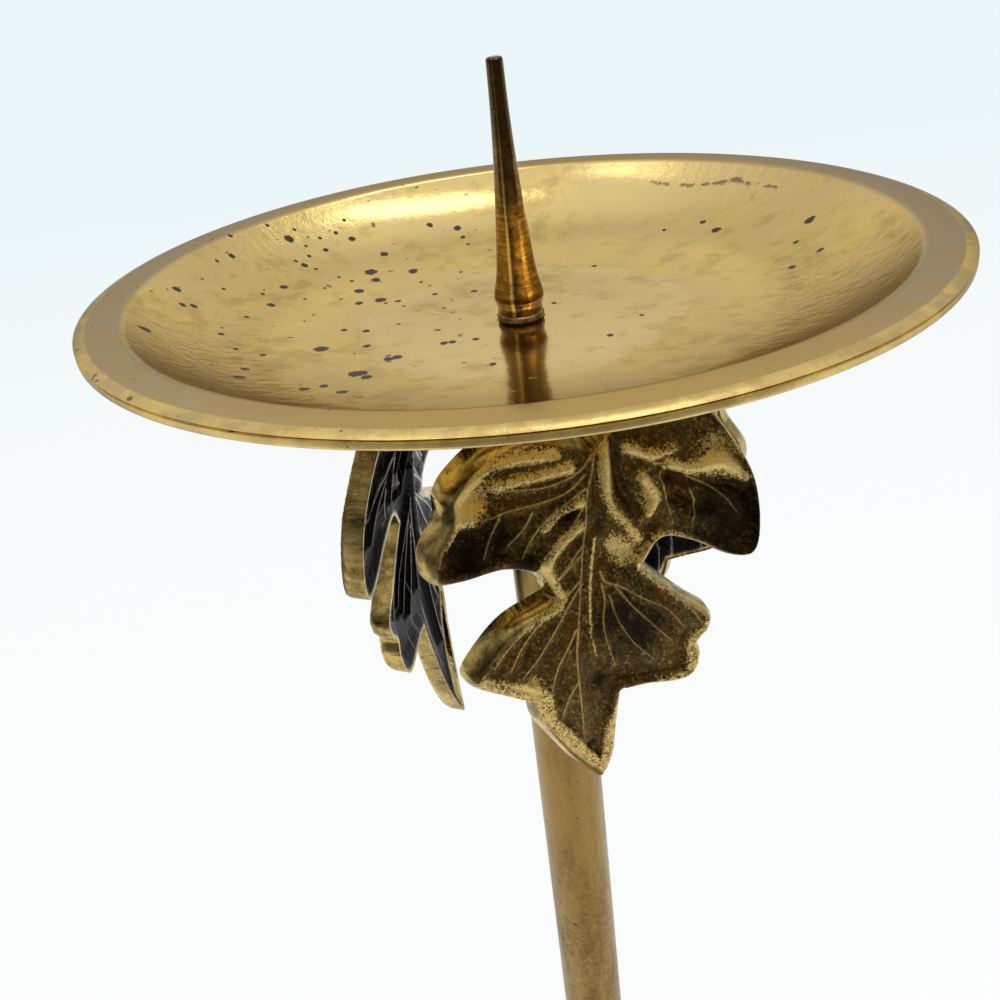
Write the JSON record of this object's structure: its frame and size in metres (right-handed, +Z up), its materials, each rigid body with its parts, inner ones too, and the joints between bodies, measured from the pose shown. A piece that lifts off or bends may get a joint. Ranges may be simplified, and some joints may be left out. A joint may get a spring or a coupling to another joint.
{
  "type": "pricket candle stand",
  "caption": "Free-standing brass pricket candle stand: spike in a round drip dish on a slim tube stem, cast leaves hanging under the dish, weighted round foot.",
  "frame": {"origin": "centre of the circle that the foot stands on", "axes": "+Z up along the stem, -Y towards the front leaf's side, from which the picture was taken"},
  "size_m": [0.172, 0.172, 0.42],
  "materials": {
    "dish_brass": "semi-polished cast brass with pits and worn patina",
    "spike_brass": "turned, darkened brass",
    "dark_ring": "blackened",
    "leaf_brass": "cast and patinated, with rubbed high spots",
    "stem_brass": "satin drawn tube with brown mottling",
    "turned_brass": "turned brass, aged",
    "foot_brass": "cast and turned brass, aged",
    "steel": "plain steel",
    "ballast_iron": "rough casting",
    "plate_paint": "black paint"
  },
  "bodies": {
    "stand": {"drip_dish": "dish_brass", "dish_seat": "turned_brass", "stem_head_plug": "turned_brass", "stem_tube": "stem_brass", "leaf_collar": "turned_brass", "collar_set_screw": "steel", "leaf_front": "leaf_brass", "leaf_left": "leaf_brass", "leaf_rear": "leaf_brass", "leaf_stalk_front": "turned_brass", "leaf_stalk_left": "turned_brass", "leaf_stalk_rear": "turned_brass", "stalk_lock_nuts": "turned_brass", "foot_collar": "turned_brass", "foot_shell": "foot_brass", "ballast_disc": "ballast_iron", "base_plate": "plate_paint", "base_plate_screws": "steel", "stem_foot_plug": "turned_brass", "foot_washer": "steel", "foot_bolt": "steel"},
    "washer_ring": {"spike_washer": "dark_ring"},
    "spike": {"pricket_spike": "spike_brass"}
  },
  "joints": [
    {"name": "spike_lift", "type": "slide", "parent": "stand", "child": "washer_ring", "axis": [0, 0, 1], "range_m": [0, 0.008]},
    {"name": "spike_turn", "type": "hinge", "parent": "washer_ring", "child": "spike", "pos_m": [0, 0, 0.37], "axis": [0, 0, 1], "range_deg": [0, 2880]}
  ],
  "couplings": [
    {"joint": "spike_turn", "follows": "spike_lift", "rad_per_m": 6283.2}
  ]
}
